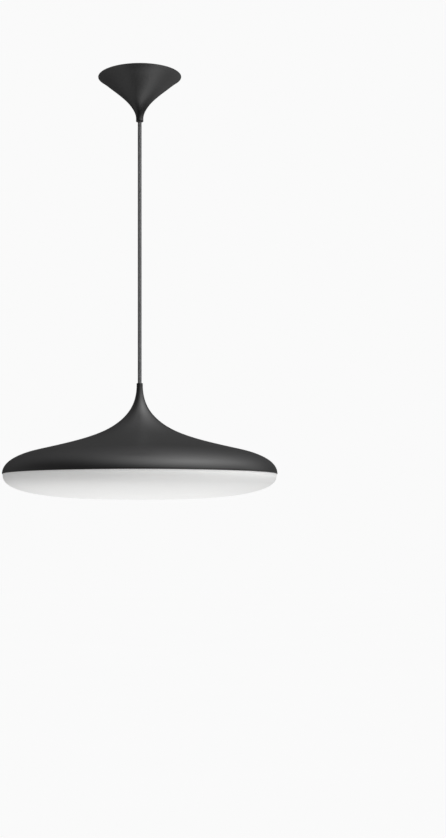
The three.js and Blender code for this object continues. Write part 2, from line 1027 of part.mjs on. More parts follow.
// ---------------------------------------------------------------- opal bowl
const bowlCurve = (radius, depth, steps) => {
  const out = [];
  for (let i = 0; i <= steps; i++) {
    const a = (Math.PI / 2) * (i / steps);
    out.push([
      radius * Math.pow(Math.cos(a), 2 / BOWL_POWER),
      BOWL_EDGE_Z - depth * Math.pow(Math.sin(a), 2 / BOWL_POWER),
    ]);
  }
  out[steps][0] = 0;
  return out;
};
const bowlOut = bowlCurve(BOWL_R, BOWL_DEPTH, 11);
const bowlIn = bowlCurve(SPIGOT_R - SPIGOT_T, BOWL_DEPTH - BOWL_T, 9);
const FLOOR_AT = 6; // the outer curve's point where the side ends and the floor begins
const FLOOR_IN = 5; // the same on the inner curve
add(
  "bowl",
  "diffuser_side",
  turned(
    [
      ...bowlIn.slice(0, FLOOR_IN + 1).reverse(),
      [SPIGOT_R - SPIGOT_T, SPIGOT_TOP_Z],
      [SPIGOT_R, SPIGOT_TOP_Z],
      [SPIGOT_R, BOWL_EDGE_Z],
      ...bowlOut.slice(0, FLOOR_AT + 1),
    ],
    SEG_BIG,
  ),
  OPAL,
);
add(
  "bowl",
  "diffuser_floor",
  turned(
    [...bowlIn.slice(FLOOR_IN).reverse(), ...bowlOut.slice(FLOOR_AT)],
    SEG_BIG,
  ),
  OPAL,
);

export default lamp;
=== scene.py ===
"""Pendant lamp: a wide trumpet-shaped matt black shade with an opal bowl, hung by one braided cable from a trumpet-shaped canopy.

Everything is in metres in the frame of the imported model: origin at the centre of the ceiling plate's upper face, +Z up.
"""

import json
import math

import bmesh
import bpy
import numpy as np
from mathutils import Matrix, Vector


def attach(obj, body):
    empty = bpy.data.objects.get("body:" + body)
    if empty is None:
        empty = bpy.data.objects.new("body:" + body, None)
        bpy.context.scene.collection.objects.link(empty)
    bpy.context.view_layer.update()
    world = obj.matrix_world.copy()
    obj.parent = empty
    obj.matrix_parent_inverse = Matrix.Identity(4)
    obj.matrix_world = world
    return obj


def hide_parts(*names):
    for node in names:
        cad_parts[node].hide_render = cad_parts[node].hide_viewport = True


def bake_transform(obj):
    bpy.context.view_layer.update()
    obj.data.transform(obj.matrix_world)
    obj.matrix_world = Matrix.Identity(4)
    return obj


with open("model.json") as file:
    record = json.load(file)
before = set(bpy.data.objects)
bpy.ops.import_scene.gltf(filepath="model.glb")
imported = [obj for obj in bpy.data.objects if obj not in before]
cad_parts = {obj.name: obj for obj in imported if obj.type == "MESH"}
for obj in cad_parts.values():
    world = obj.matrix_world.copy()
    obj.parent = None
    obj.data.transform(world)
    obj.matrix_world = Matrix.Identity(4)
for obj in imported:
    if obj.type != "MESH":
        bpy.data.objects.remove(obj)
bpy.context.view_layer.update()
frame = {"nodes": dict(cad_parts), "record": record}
NODES = frame["nodes"]
MM = 0.001
SCENE = bpy.context.scene
COLLECTION = SCENE.collection


# ------------------------------------------------------------------ camera
IMAGE_W, IMAGE_H = 446, 838
FOCAL_PX = 1321.46
AXIS_PX, HORIZON_PX = 139.7, 523.17
EYE = (0.0, -2.3, -0.776)

cam_data = bpy.data.cameras.new("camera")
camera = bpy.data.objects.new("camera", cam_data)
COLLECTION.objects.link(camera)
cam_data.sensor_width = 36.0
cam_data.sensor_fit = "AUTO"
cam_data.lens = FOCAL_PX / IMAGE_H * 36.0
cam_data.shift_x = (IMAGE_W / 2 - AXIS_PX) / IMAGE_H
cam_data.shift_y = (HORIZON_PX - IMAGE_H / 2) / IMAGE_H
cam_data.clip_start, cam_data.clip_end = 0.05, 200.0
camera.location = EYE
camera.rotation_euler = (math.pi / 2, 0, 0)
SCENE.camera = camera
SCENE.view_settings.view_transform = "Standard"
SCENE.view_settings.look = "None"


# ------------------------------------------------------------------ mesh helpers
def build(name, verts, faces, materials=(), face_mats=None, smooth=35.0):
    """A mesh object from metres. smooth is the angle, in degrees, past which an edge stays sharp."""
    me = bpy.data.meshes.new(name)
    me.from_pydata([tuple(v) for v in verts], [], faces)
    me.validate()
    for m in materials:
        me.materials.append(m)
    if face_mats is not None:
        me.polygons.foreach_set("material_index", face_mats)
    finish_mesh(me, smooth)
    ob = bpy.data.objects.new(name, me)
    COLLECTION.objects.link(ob)
    return ob


def finish_mesh(me, smooth):
    bm = bmesh.new()
    bm.from_mesh(me)
    bmesh.ops.recalc_face_normals(bm, faces=bm.faces)
    if bm.calc_volume(signed=True) < 0:
        bmesh.ops.reverse_faces(bm, faces=bm.faces)
    bm.to_mesh(me)
    bm.free()
    me.polygons.foreach_set("use_smooth", [True] * len(me.polygons))
    me.set_sharp_from_angle(angle=math.radians(smooth))
    me.update()


def bspline(control, n):
    """n + 1 points of the clamped uniform cubic B-spline with these control points."""
    c = np.array(control, float)
    m, k = len(c), 3
    knots = np.concatenate([[0] * k, np.linspace(0, 1, m - k + 1), [1] * k])
    out = []
    for t in np.linspace(0, 1, n + 1):
        t = min(t, 1 - 1e-9)
        j = max(i for i in range(k, m) if knots[i] <= t)
        d = [c[j - k + i].copy() for i in range(k + 1)]
        for r in range(1, k + 1):
            for i in range(k, r - 1, -1):
                lo, hi = knots[j - k + i], knots[j + 1 + i - r]
                a = (t - lo) / (hi - lo)
                d[i] = (1 - a) * d[i - 1] + a * d[i]
        out.append(d[k])
    return [(float(p[0]), float(p[1])) for p in out]


def offset(profile, t):
    """The profile moved t to the left of its direction of travel."""
    p = np.array(profile, float)
    d = np.gradient(p, axis=0)
    d[0], d[-1] = p[1] - p[0], p[-1] - p[-2]
    d /= np.hypot(d[:, 0], d[:, 1])[:, None]
    return [(float(r + dz * t), float(z - dr * t)) for (r, z), (dr, dz) in zip(p, d)]


def cap(a, b, n=6):
    """Points of a half round from a to b, bulging to the left of the line from a to b, ends left out."""
    a, b = np.array(a, float), np.array(b, float)
    c, h = (a + b) / 2, (b - a) / 2
    out = np.array([-h[1], h[0]])
    return [
        tuple(float(x) for x in c - h * math.cos(s) + out * math.sin(s))
        for s in (math.pi * i / n for i in range(1, n))
    ]


def rounded(points, radius, n=4, closed=True):
    """A polygon's corners rounded. radius is one number, or one for each point."""
    p = [np.array(q[:2], float) for q in points]
    r = [radius] * len(p) if isinstance(radius, (int, float)) else list(radius)
    out = []
    for i, q in enumerate(p):
        if not closed and i in (0, len(p) - 1) or r[i] <= 0:
            out.append(tuple(map(float, q)))
            continue
        a, b = p[i - 1] - q, p[(i + 1) % len(p)] - q
        la, lb = np.linalg.norm(a), np.linalg.norm(b)
        a, b = a / la, b / lb
        turn = math.acos(max(-1, min(1, float(a @ b))))
        if abs(math.pi - turn) < 1e-3:
            out.append(tuple(map(float, q)))
            continue
        cut = min(r[i] / math.tan(turn / 2), la * 0.49, lb * 0.49)
        rr = cut * math.tan(turn / 2)
        s, e = q + a * cut, q + b * cut
        mid = (a + b) / np.linalg.norm(a + b)
        c = q + mid * (rr / math.sin(turn / 2))
        va, vb = s - c, e - c
        sweep = math.pi - turn
        side = 1 if va[0] * vb[1] - va[1] * vb[0] > 0 else -1
        for k in range(n + 1):
            w = side * sweep * k / n
            out.append(
                (
                    float(c[0] + va[0] * math.cos(w) - va[1] * math.sin(w)),
                    float(c[1] + va[0] * math.sin(w) + va[1] * math.cos(w)),
                )
            )
    return out


def lathe(name, profile, segments, materials, closed=True, centre=(0, 0), smooth=35.0, mats=None):
    """Turns a profile of (radius, z) in millimetres about a vertical axis. mats gives a material index for each step of the profile."""
    verts, rings = [], []
    for r, z in profile:
        if abs(r) < 1e-6:
            rings.append([len(verts)])
            verts.append((centre[0] * MM, centre[1] * MM, z * MM))
            continue
        rings.append(list(range(len(verts), len(verts) + segments)))
        for i in range(segments):
            a = 2 * math.pi * i / segments
            verts.append(((centre[0] + r * math.cos(a)) * MM, (centre[1] + r * math.sin(a)) * MM, z * MM))
    faces, index = [], []
    steps = len(rings) if closed else len(rings) - 1
    for k in range(steps):
        a, b = rings[k], rings[(k + 1) % len(rings)]
        if len(a) == 1 and len(b) == 1:
            continue
        for i in range(segments):
            j = (i + 1) % segments
            if len(a) == 1:
                faces.append((a[0], b[j], b[i]))
            elif len(b) == 1:
                faces.append((a[i], a[j], b[0]))
            else:
                faces.append((a[i], a[j], b[j], b[i]))
            index.append(mats[k] if mats else 0)
    return build(name, verts, faces, materials, index if mats else None, smooth)


def catmull(points, steps):
    """steps + 1 points evenly along the centripetal Catmull-Rom curve through points."""
    p = [np.array(q, float) for q in points]
    p = [2 * p[0] - p[1], *p, 2 * p[-1] - p[-2]]
    dense = []
    for i in range(1, len(p) - 2):
        p0, p1, p2, p3 = p[i - 1 : i + 3]
        t0 = 0.0
        t1 = t0 + max(np.linalg.norm(p1 - p0), 1e-9) ** 0.5
        t2 = t1 + max(np.linalg.norm(p2 - p1), 1e-9) ** 0.5
        t3 = t2 + max(np.linalg.norm(p3 - p2), 1e-9) ** 0.5
        for k in range(24):
            t = t1 + (t2 - t1) * k / 24
            a1 = (t1 - t) / (t1 - t0) * p0 + (t - t0) / (t1 - t0) * p1
            a2 = (t2 - t) / (t2 - t1) * p1 + (t - t1) / (t2 - t1) * p2
            a3 = (t3 - t) / (t3 - t2) * p2 + (t - t2) / (t3 - t2) * p3
            b1 = (t2 - t) / (t2 - t0) * a1 + (t - t0) / (t2 - t0) * a2
            b2 = (t3 - t) / (t3 - t1) * a2 + (t - t1) / (t3 - t1) * a3
            dense.append((t2 - t) / (t2 - t1) * b1 + (t - t1) / (t2 - t1) * b2)
    dense.append(p[-2])
    dense = np.array(dense)
    s = np.concatenate([[0], np.cumsum(np.linalg.norm(np.diff(dense, axis=0), axis=1))])
    want = np.linspace(0, s[-1], steps + 1)
    return np.stack([np.interp(want, s, dense[:, i]) for i in range(3)], 1)


def sweep(name, line, radius, sides, materials, round_ends=True, uv=False, smooth=50.0):
    """A round tube along points in millimetres, with half-round or flat closed ends."""
    line = np.array(line, float)
    t = np.gradient(line, axis=0)
    t /= np.linalg.norm(t, axis=1)[:, None]
    u = np.cross(t[0], (0, 0, 1) if abs(t[0][2]) < 0.9 else (1, 0, 0))
    u /= np.linalg.norm(u)
    rings = []  # (centre, u, v, radius, length)
    s = 0.0
    frames = []
    for i, c in enumerate(line):
        if i:
            u = u - t[i] * (u @ t[i])
            u /= np.linalg.norm(u)
            s += float(np.linalg.norm(line[i] - line[i - 1]))
        frames.append((c, u.copy(), np.cross(t[i], u), s))
    ends = 5 if round_ends else 0
    for k in range(ends, 0, -1):
        w = math.pi / 2 * k / (ends + 0.5)
        c, a, b, s0 = frames[0]
        rings.append((c - t[0] * radius * math.sin(w), a, b, radius * math.cos(w), s0 - radius * w))
    for c, a, b, s0 in frames:
        rings.append((c, a, b, radius, s0))
    for k in range(1, ends + 1):
        w = math.pi / 2 * k / (ends + 0.5)
        c, a, b, s0 = frames[-1]
        rings.append((c + t[-1] * radius * math.sin(w), a, b, radius * math.cos(w), s0 + radius * w))
    verts, faces = [], []
    for c, a, b, r, _ in rings:
        for i in range(sides):
            w = 2 * math.pi * i / sides
            verts.append((c + r * (a * math.cos(w) + b * math.sin(w))) * MM)
    n = len(rings)
    for k in range(n - 1):
        for i in range(sides):
            j = (i + 1) % sides
            faces.append((k * sides + i, k * sides + j, (k + 1) * sides + j, (k + 1) * sides + i))
    quads = len(faces)
    faces.append(tuple(range(sides - 1, -1, -1)))
    faces.append(tuple(range((n - 1) * sides, n * sides)))
    me = bpy.data.meshes.new(name)
    me.from_pydata([tuple(map(float, v)) for v in verts], [], faces)
    if uv:
        layer = me.uv_layers.new(name="along")
        for f in me.polygons:
            for li, vi in zip(f.loop_indices, f.vertices):
                k, i = divmod(vi, sides)
                around = i / sides
                if f.index < quads and f.index % sides == sides - 1 and i == 0:
                    around = 1.0
                layer.data[li].uv = (around, rings[k][4] * MM)
    for m in materials:
        me.materials.append(m)
    finish_mesh(me, smooth)
    ob = bpy.data.objects.new(name, me)
    COLLECTION.objects.link(ob)
    return ob


def prism(name, outline, z0, z1, materials, bevel=0.25, segments=2, smooth=40.0):
    """An outline in X and Y, in millimetres, between two heights, its edges rounded."""
    n = len(outline)
    verts = [(x * MM, y * MM, z0 * MM) for x, y in outline]
    verts += [(x * MM, y * MM, z1 * MM) for x, y in outline]
    faces = [tuple(range(n - 1, -1, -1)), tuple(range(n, 2 * n))]
    faces += [(i, (i + 1) % n, n + (i + 1) % n, n + i) for i in range(n)]
    ob = build(name, verts, faces, materials, smooth=smooth)
    if bevel:
        soften(ob, bevel, segments, smooth)
    return ob


def soften(ob, width, segments=2, smooth=40.0, angle=30.0):
    """Rounds every edge sharper than angle."""
    m = ob.modifiers.new("soften", "BEVEL")
    m.width, m.segments, m.limit_method = width * MM, segments, "ANGLE"
    m.angle_limit = math.radians(angle)
    m.use_clamp_overlap = True
    apply_all(ob, smooth)
    return ob


def apply_all(ob, smooth=40.0):
    """Puts the modifiers' result in the mesh."""
    dg = bpy.context.evaluated_depsgraph_get()
    made = bpy.data.meshes.new_from_object(ob.evaluated_get(dg), depsgraph=dg)
    ob.modifiers.clear()
    old = ob.data
    ob.data = made
    made.name = old.name
    bpy.data.meshes.remove(old)
    ob.data.polygons.foreach_set("use_smooth", [True] * len(ob.data.polygons))
    ob.data.set_sharp_from_angle(angle=math.radians(smooth))
    return ob


def cut(ob, *cutters, operation="DIFFERENCE", smooth=40.0):
    """Cuts the cutters out of ob, or joins them to it, and removes them."""
    for c in cutters:
        m = ob.modifiers.new("cut", "BOOLEAN")
        m.operation, m.solver, m.object = operation, "EXACT", c
        if operation == "UNION":
            m.material_mode = "TRANSFER"
    apply_all(ob, smooth)
    for c in cutters:
        bpy.data.objects.remove(c)
    return ob


def weld(ob, *others, smooth=40.0):
    return cut(ob, *others, operation="UNION", smooth=smooth)


def place(ob, matrix):
    ob.data.transform(matrix)
    ob.data.update()
    return ob


def turn(degrees, axis="Z"):
    return Matrix.Rotation(math.radians(degrees), 4, axis)


def move(x, y, z):
    return Matrix.Translation((x * MM, y * MM, z * MM))


def join(name, objects):
    """One object from several, each keeping its materials."""
    verts, faces, index, mats = [], [], [], []
    for o in objects:
        base = len(verts)
        where = []
        for m in o.data.materials:
            if m not in mats:
                mats.append(m)
            where.append(mats.index(m))
        verts += [tuple(v.co) for v in o.data.vertices]
        for p in o.data.polygons:
            faces.append(tuple(base + v for v in p.vertices))
            index.append(where[p.material_index] if where else 0)
    me = bpy.data.meshes.new(name)
    me.from_pydata(verts, [], faces)
    for m in mats:
        me.materials.append(m)
    me.polygons.foreach_set("material_index", index)
    me.polygons.foreach_set("use_smooth", [True] * len(me.polygons))
    me.set_sharp_from_angle(angle=math.radians(38))
    for o in objects:
        bpy.data.objects.remove(o)
    ob = bpy.data.objects.new(name, me)
    COLLECTION.objects.link(ob)
    return ob


def keep(ob, body, slot, *nodes):
    """ob rides on body and stands for these CAD nodes, which it hides. slot is not used."""
    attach(ob, body)
    if nodes:
        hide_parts(*nodes)
    return ob


# ------------------------------------------------------------------ material helpers
class Nodes:
    """Short names for building a material's node tree."""

    def __init__(self, name):
        self.material = bpy.data.materials.new(name)
        self.material.use_nodes = True
        self.tree = self.material.node_tree
        self.shader = self.tree.nodes["Principled BSDF"]
        self.coords = self.tree.nodes.new("ShaderNodeTexCoord")

    def new(self, kind, **values):
        n = self.tree.nodes.new(kind)
        for k, v in values.items():
            setattr(n, k, v)
        return n

    def link(self, a, b):
        self.tree.links.new(a, b)

    def noise(self, scale, detail=2.0, rough=0.5, stretch=None, source=None):
        n = self.new("ShaderNodeTexNoise")
        n.inputs["Scale"].default_value = scale
        n.inputs["Detail"].default_value = detail
        n.inputs["Roughness"].default_value = rough
        at = source or self.coords.outputs["Object"]
        if stretch:
            m = self.new("ShaderNodeMapping")
            m.inputs["Scale"].default_value = stretch
            self.link(at, m.inputs["Vector"])
            at = m.outputs["Vector"]
        self.link(at, n.inputs["Vector"])
        return n.outputs["Fac"]

    def ramp(self, value, stops):
        n = self.new("ShaderNodeValToRGB")
        e = n.color_ramp.elements
        while len(e) < len(stops):
            e.new(0.5)
        for el, (at, colour) in zip(e, stops):
            el.position = at
            el.color = (*colour, 1) if len(colour) == 3 else colour
        self.link(value, n.inputs["Fac"])
        return n.outputs["Color"]

    def spread(self, value, low, high):
        """value from 0 to 1 spread over low to high."""
        n = self.new("ShaderNodeMapRange")
        n.inputs["To Min"].default_value = low
        n.inputs["To Max"].default_value = high
        self.link(value, n.inputs["Value"])
        return n.outputs["Result"]

    def maths(self, operation, a, b=None, c=None):
        n = self.new("ShaderNodeMath", operation=operation)
        for i, v in enumerate((a, b, c)):
            if v is None:
                continue
            if isinstance(v, (int, float)):
                n.inputs[i].default_value = v
            else:
                self.link(v, n.inputs[i])
        return n.outputs[0]

    def mix(self, factor, a, b, blend="MIX"):
        n = self.new("ShaderNodeMix", data_type="RGBA", blend_type=blend)
        for s, v in ((n.inputs[0], factor), (n.inputs[6], a), (n.inputs[7], b)):
            if isinstance(v, (int, float)):
                s.default_value = v
            elif isinstance(v, tuple):
                s.default_value = (*v, 1)
            else:
                self.link(v, s)
        return n.outputs[2]

    def bump(self, height, strength, distance, after=None):
        n = self.new("ShaderNodeBump")
        n.inputs["Strength"].default_value = strength
        n.inputs["Distance"].default_value = distance
        self.link(height, n.inputs["Height"])
        if after is not None:
            self.link(after, n.inputs["Normal"])
        return n.outputs["Normal"]

    def set(self, **sockets):
        for k, v in sockets.items():
            s = self.shader.inputs[k.replace("_", " ")]
            if isinstance(v, (int, float)):
                s.default_value = v
            elif isinstance(v, tuple):
                s.default_value = (*v, 1) if len(v) == 3 and s.type == "RGBA" else v
            else:
                self.link(v, s)
        return self


def shades(colour, by):
    return tuple(max(0.0, min(1.0, c * by)) for c in colour)


def powder_coat(name, colour, rough=0.46, speck=0.0006, strength=0.35, specular=0.5, vary=0.07):
    """Matt powder coat: a fine pebbled surface, with faint changes of gloss and shade over the sheet."""
    m = Nodes(name)
    fine = m.noise(1 / speck, 3.0, 0.55)
    broad = m.noise(9.0, 3.0, 0.5)
    m.set(
        Base_Color=m.ramp(m.maths("ADD", m.maths("MULTIPLY", fine, 0.5), m.maths("MULTIPLY", broad, 0.5)), [(0.3, shades(colour, 0.86)), (0.7, shades(colour, 1.14))]),
        Roughness=m.spread(m.maths("ADD", m.maths("MULTIPLY", fine, 0.6), m.maths("MULTIPLY", broad, 0.4)), rough - vary, rough + vary),
        Normal=m.bump(fine, strength, 0.00004, m.bump(m.noise(160.0, 2.0), 0.10, 0.0002)),
        IOR=1.5,
        Specular_IOR_Level=specular,
    )
    return m.material


def moulded(name, colour, rough=0.4, grain=0.0008, strength=0.25, specular=0.5):
    """Moulded plastic or rubber: fine spark grain and slight changes of shade."""
    m = Nodes(name)
    fine = m.noise(1 / grain, 2.0, 0.5)
    broad = m.noise(30.0, 3.0, 0.6)
    m.set(
        Base_Color=m.ramp(broad, [(0.3, shades(colour, 0.92)), (0.7, shades(colour, 1.06))]),
        Roughness=m.spread(fine, rough - 0.06, rough + 0.08),
        Normal=m.bump(fine, strength, 0.00003),
        Specular_IOR_Level=specular,
    )
    return m.material


def metal(name, colour, rough=0.3, scratch=0.25, stretch=(1, 1, 1), tint=None):
    """Bare or plated metal: cloudy tint, drawn scratches along one direction and changes of gloss."""
    m = Nodes(name)
    cloud = m.noise(70.0, 4.0, 0.6)
    fine = m.noise(900.0, 3.0, 0.6, stretch=stretch)
    m.set(
        Metallic=1.0,
        Base_Color=m.ramp(cloud, [(0.25, shades(colour, 0.86)), (0.55, colour), (0.8, tint or shades(colour, 1.08))]),
        Roughness=m.spread(m.maths("ADD", m.maths("MULTIPLY", cloud, 0.5), m.maths("MULTIPLY", fine, 0.5)), rough - 0.1, rough + 0.14),
        Normal=m.bump(fine, scratch, 0.00003),
    )
    return m.material


def insulation(name, colour, stripe=None):
    """PVC wire insulation, slightly glossy. A stripe runs along the wire."""
    m = Nodes(name)
    cloud = m.noise(260.0, 2.0)
    base = m.ramp(cloud, [(0.3, shades(colour, 0.85)), (0.7, shades(colour, 1.12))])
    if stripe:
        parts = m.new("ShaderNodeSeparateXYZ")
        m.link(m.coords.outputs["UV"], parts.inputs[0])
        on = m.maths("GREATER_THAN", m.maths("ABSOLUTE", m.maths("SUBTRACT", m.maths("FRACT", m.maths("MULTIPLY", parts.outputs[0], 2.0)), 0.5)), 0.29)
        base = m.mix(on, base, stripe)
    m.set(Base_Color=base, Roughness=m.spread(cloud, 0.3, 0.42), Normal=m.bump(m.noise(1500.0), 0.15, 0.00003))
    return m.material


def braid(name, dark, light, carriers=24, pitch=0.0105):
    """A round textile braid: two sets of yarns wound opposite ways, over and under each other. It reads the UV map: around the cable, and metres along it."""
    m = Nodes(name)
    parts = m.new("ShaderNodeSeparateXYZ")
    m.link(m.coords.outputs["UV"], parts.inputs[0])
    around, along = parts.outputs[0], parts.outputs[1]
    half = carriers / 2
    turns = m.maths("MULTIPLY", along, half / pitch)
    u = m.maths("MULTIPLY", around, half)
    a = m.maths("ADD", u, turns)
    b = m.maths("SUBTRACT", u, turns)
    tau = 2 * math.pi
    ridge_a = m.maths("ABSOLUTE", m.maths("SINE", m.maths("MULTIPLY", a, math.pi)))
    ridge_b = m.maths("ABSOLUTE", m.maths("SINE", m.maths("MULTIPLY", b, math.pi)))
    over = m.maths("GREATER_THAN", m.maths("SINE", m.maths("MULTIPLY", m.maths("ADD", m.maths("FLOOR", a), m.maths("FLOOR", b)), math.pi / 2 * 1.0001)), 0.0)
    height = m.new("ShaderNodeMix", data_type="FLOAT")
    m.link(over, height.inputs[0])
    m.link(ridge_b, height.inputs[2])
    m.link(ridge_a, height.inputs[3])
    weave = height.outputs[0]
    fibre = m.noise(5200.0, 3.0, 0.6)
    slow = m.noise(45.0, 3.0, 0.6)
    # painted shade: the yarns' colour darkens into the grooves where they dip under each other, on top of the fibres'
    # own random changes of tone
    shade = m.maths("MULTIPLY", weave, m.spread(m.maths("ADD", m.maths("MULTIPLY", fibre, 0.6), m.maths("MULTIPLY", slow, 0.4)), 0.6, 1.1))
    m.set(
        Base_Color=m.ramp(shade, [(0.1, dark), (0.9, light)]),
        Roughness=m.spread(fibre, 0.72, 0.92),
        Normal=m.bump(weave, 0.7, 0.00025, m.bump(fibre, 0.3, 0.00005)),
        Sheen_Weight=0.25,
        Sheen_Roughness=0.4,
    )
    return m.material


def opal(name):
    """Satin opal acrylic: light scatters inside the wall. A faint painted glow, strongest at the bottom, stands in for
    light falling on the bowl from below.
    """
    m = Nodes(name)
    parts = m.new("ShaderNodeSeparateXYZ")
    m.link(m.coords.outputs["Object"], parts.inputs[0])
    height = m.maths("MULTIPLY", m.maths("ADD", parts.outputs[2], 0.736), 1 / 0.046)
    # painted light: an emission that rises towards the bottom of the bowl, standing in for light from below
    painted_glow = m.ramp(height, [(h, (v, v, v)) for h, v in ((0.043, 0.451), (0.265, 0.359), (0.435, 0.309), (0.6, 0.259), (0.765, 0.267), (0.978, 0.276))])
    cloud = m.noise(6.0, 3.0, 0.5)
    fine = m.noise(900.0, 2.0, 0.5)
    m.set(
        Base_Color=m.ramp(cloud, [(0.3, (0.72, 0.72, 0.716)), (0.7, (0.752, 0.752, 0.746))]),
        Roughness=m.spread(m.maths("ADD", m.maths("MULTIPLY", fine, 0.5), m.maths("MULTIPLY", cloud, 0.5)), 0.36, 0.48),
        Normal=m.bump(fine, 0.06, 0.00003),
        Subsurface_Weight=0.35,
        Subsurface_Radius=(1.0, 0.95, 0.9),
        Subsurface_Scale=0.006,
        IOR=1.49,
        Emission_Color=(1.0, 1.0, 0.99),
        Emission_Strength=painted_glow,
    )
    return m.material


BLACK = powder_coat("black_powder_coat", (0.0215, 0.0215, 0.022), 0.36, specular=0.62, vary=0.035)
BRAID = braid("black_braid", (0.056, 0.056, 0.057), (0.31, 0.31, 0.314))
RUBBER = moulded("black_rubber", (0.022, 0.022, 0.022), 0.62, 0.0006, 0.35, 0.35)
OPAL = opal("opal_acrylic")
NYLON = moulded("white_nylon", (0.74, 0.72, 0.66), 0.42, 0.0007, 0.2)
CASE = moulded("driver_case_plastic", (0.05, 0.054, 0.06), 0.48, 0.0007, 0.4)
ZINC = metal("zinc_plated_steel", (0.56, 0.58, 0.6), 0.33, 0.2, (1, 6, 1), (0.62, 0.61, 0.56))
BRASS = metal("brass", (0.62, 0.43, 0.15), 0.28, 0.2, (1, 1, 8))
ALU = metal("turned_aluminium", (0.68, 0.69, 0.7), 0.34, 0.3, (1, 1, 12))
WHITE = powder_coat("white_powder_coat", (0.8, 0.8, 0.785), 0.42, 0.0007, 0.25)
SPRING = metal("spring_strip", (0.6, 0.61, 0.62), 0.22, 0.2, (1, 10, 1))
MASK = moulded("white_solder_mask", (0.82, 0.82, 0.8), 0.3, 0.0015, 0.12)
GREEN = moulded("green_solder_mask", (0.02, 0.16, 0.06), 0.3, 0.001, 0.2)
LED_BODY = moulded("led_package", (0.86, 0.86, 0.84), 0.35, 0.0008, 0.1)
PHOSPHOR = moulded("led_phosphor", (0.82, 0.6, 0.08), 0.3, 0.0004, 0.15)
SOLDER = metal("solder", (0.66, 0.67, 0.68), 0.3, 0.1)
BROWN = insulation("brown_insulation", (0.16, 0.06, 0.025))
BLUE = insulation("blue_insulation", (0.03, 0.12, 0.42))
EARTH = insulation("earth_insulation", (0.06, 0.33, 0.05), (0.75, 0.68, 0.05))
RED = insulation("red_insulation", (0.42, 0.025, 0.02))
DARK = insulation("black_insulation", (0.02, 0.02, 0.021))

SLOT_MATERIAL = {
    "black_paint": BLACK,
    "black_cable": BRAID,
    "black_rubber": RUBBER,
    "opal": OPAL,
    "white_plastic": NYLON,
    "grey_plastic": CASE,
    "zinc_steel": ZINC,
    "brass": BRASS,
    "aluminium": ALU,
    "white_coat": WHITE,
    "spring_steel": SPRING,
    "white_board": MASK,
    "green_board": GREEN,
    "wire_brown": BROWN,
    "wire_blue": BLUE,
    "wire_earth": EARTH,
    "wire_red": RED,
    "wire_black": DARK,
}
NODE_SLOT = {s["node"]: s["material_slot"] for s in frame["record"]["subparts"]}
for node, ob in NODES.items():
    ob.data.materials.clear()
    ob.data.materials.append(SLOT_MATERIAL[NODE_SLOT[node]])


# ------------------------------------------------------------------ cable
CABLE_R = 3.4
MOUTH_Z, NECK_Z = -76.4, -533.0
GRIP_Z = -12.0

# the cable's half-round ends turn about the two pivots, so its neighbours stop just short of them
UPPER_END, TAIL_TOP = MOUTH_Z + CABLE_R + 0.1, NECK_Z - CABLE_R - 0.1
upper_line = [(0, 0, z) for z in np.linspace(GRIP_Z, UPPER_END, 28)]
cable_upper = sweep("cable_inside_canopy", upper_line, CABLE_R, 28, [BRAID], round_ends=False, uv=True)
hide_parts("cable_upper")
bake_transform(cable_upper)

visible_line = [(0, 0, z) for z in np.linspace(MOUTH_Z, NECK_Z, 150)]
cable = sweep("cable", visible_line, CABLE_R, 28, [BRAID], uv=True)
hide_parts("suspension_cable")
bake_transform(cable)

tail = sweep("cable_in_shade", [(0, 0, z) for z in np.linspace(TAIL_TOP, -614.6, 20)], CABLE_R, 28, [BRAID], round_ends=False, uv=True)
keep(tail, "shade", "black_cable", "cable_tail")


# ------------------------------------------------------------------ canopy
COAT = 0.35  # thickness of the powder coat over the bare metal
CANOPY_CURVE = [
    (71.75, 0.0),
    (65.866, -3.816),
    (55.4, -12.7),
    (39.7, -25.1),
    (23.0, -39.8),
    (10.6, -55.07),
    (5.2, -68.002),
    (6.18, -76.4),
]
canopy_out = offset(bspline(CANOPY_CURVE, 96), -COAT)
canopy_out[-1] = (canopy_out[-1][0], CANOPY_CURVE[-1][1])
canopy_in = offset(canopy_out, 1.0 + COAT)
canopy_profile = (
    canopy_out
    + cap(canopy_out[-1], canopy_in[-1])
    + canopy_in[::-1]
    + cap(canopy_in[0], canopy_out[0])
)
# the rolled edge lies on the ceiling
canopy_profile = [(r, min(z, -0.02 - 0.002 * i / len(canopy_profile))) for i, (r, z) in enumerate(canopy_profile)]
canopy = lathe("canopy", canopy_profile, 160, [BLACK])
LOCK_Z = -63.5
hole = lathe("hole", [(0, 2), (1.75, 2), (1.75, 14), (0, 14)], 24, [BLACK], closed=False)
place(hole, move(0, 0, LOCK_Z) @ turn(-90, "X"))
cut(canopy, hole)
keep(canopy, "canopy", "black_paint", "canopy_shell")


# ------------------------------------------------------------------ shade
SHADE_CURVE = [
    (5.07, -533.1),
    (4.758, -548.111),
    (10.234, -577.247),
    (44.046, -608.75),
    (84.096, -625.729),
    (125.587, -637.482),
    (169.856, -647.904),
    (210.006, -656.996),
    (237.666, -675.366),
    (238.26, -690.5),
]
shade_out = offset(bspline(SHADE_CURVE, 150), -COAT)
shade_out[-1] = (shade_out[-1][0], SHADE_CURVE[-1][1])
shade_in = offset(shade_out, 1.0 + COAT)
shade_profile = (
    shade_out
    + cap(shade_out[-1], shade_in[-1])
    + shade_in[::-1]
    + cap(shade_in[0], shade_out[0])
)
shade = lathe("shade", shade_profile, 256, [BLACK])
keep(shade, "shade", "black_paint", "shade_neck", "shade_flare", "shade_flank", "shade_skirt")


# ------------------------------------------------------------------ opal bowl
BOWL_EDGE, BOWL_R, BOWL_DEPTH, BOWL_POWER, BOWL_T = -690.9, 237.4, 43.9, 2.7, 2.5
SPIGOT_R, SPIGOT_TOP = 233.8, -684.0


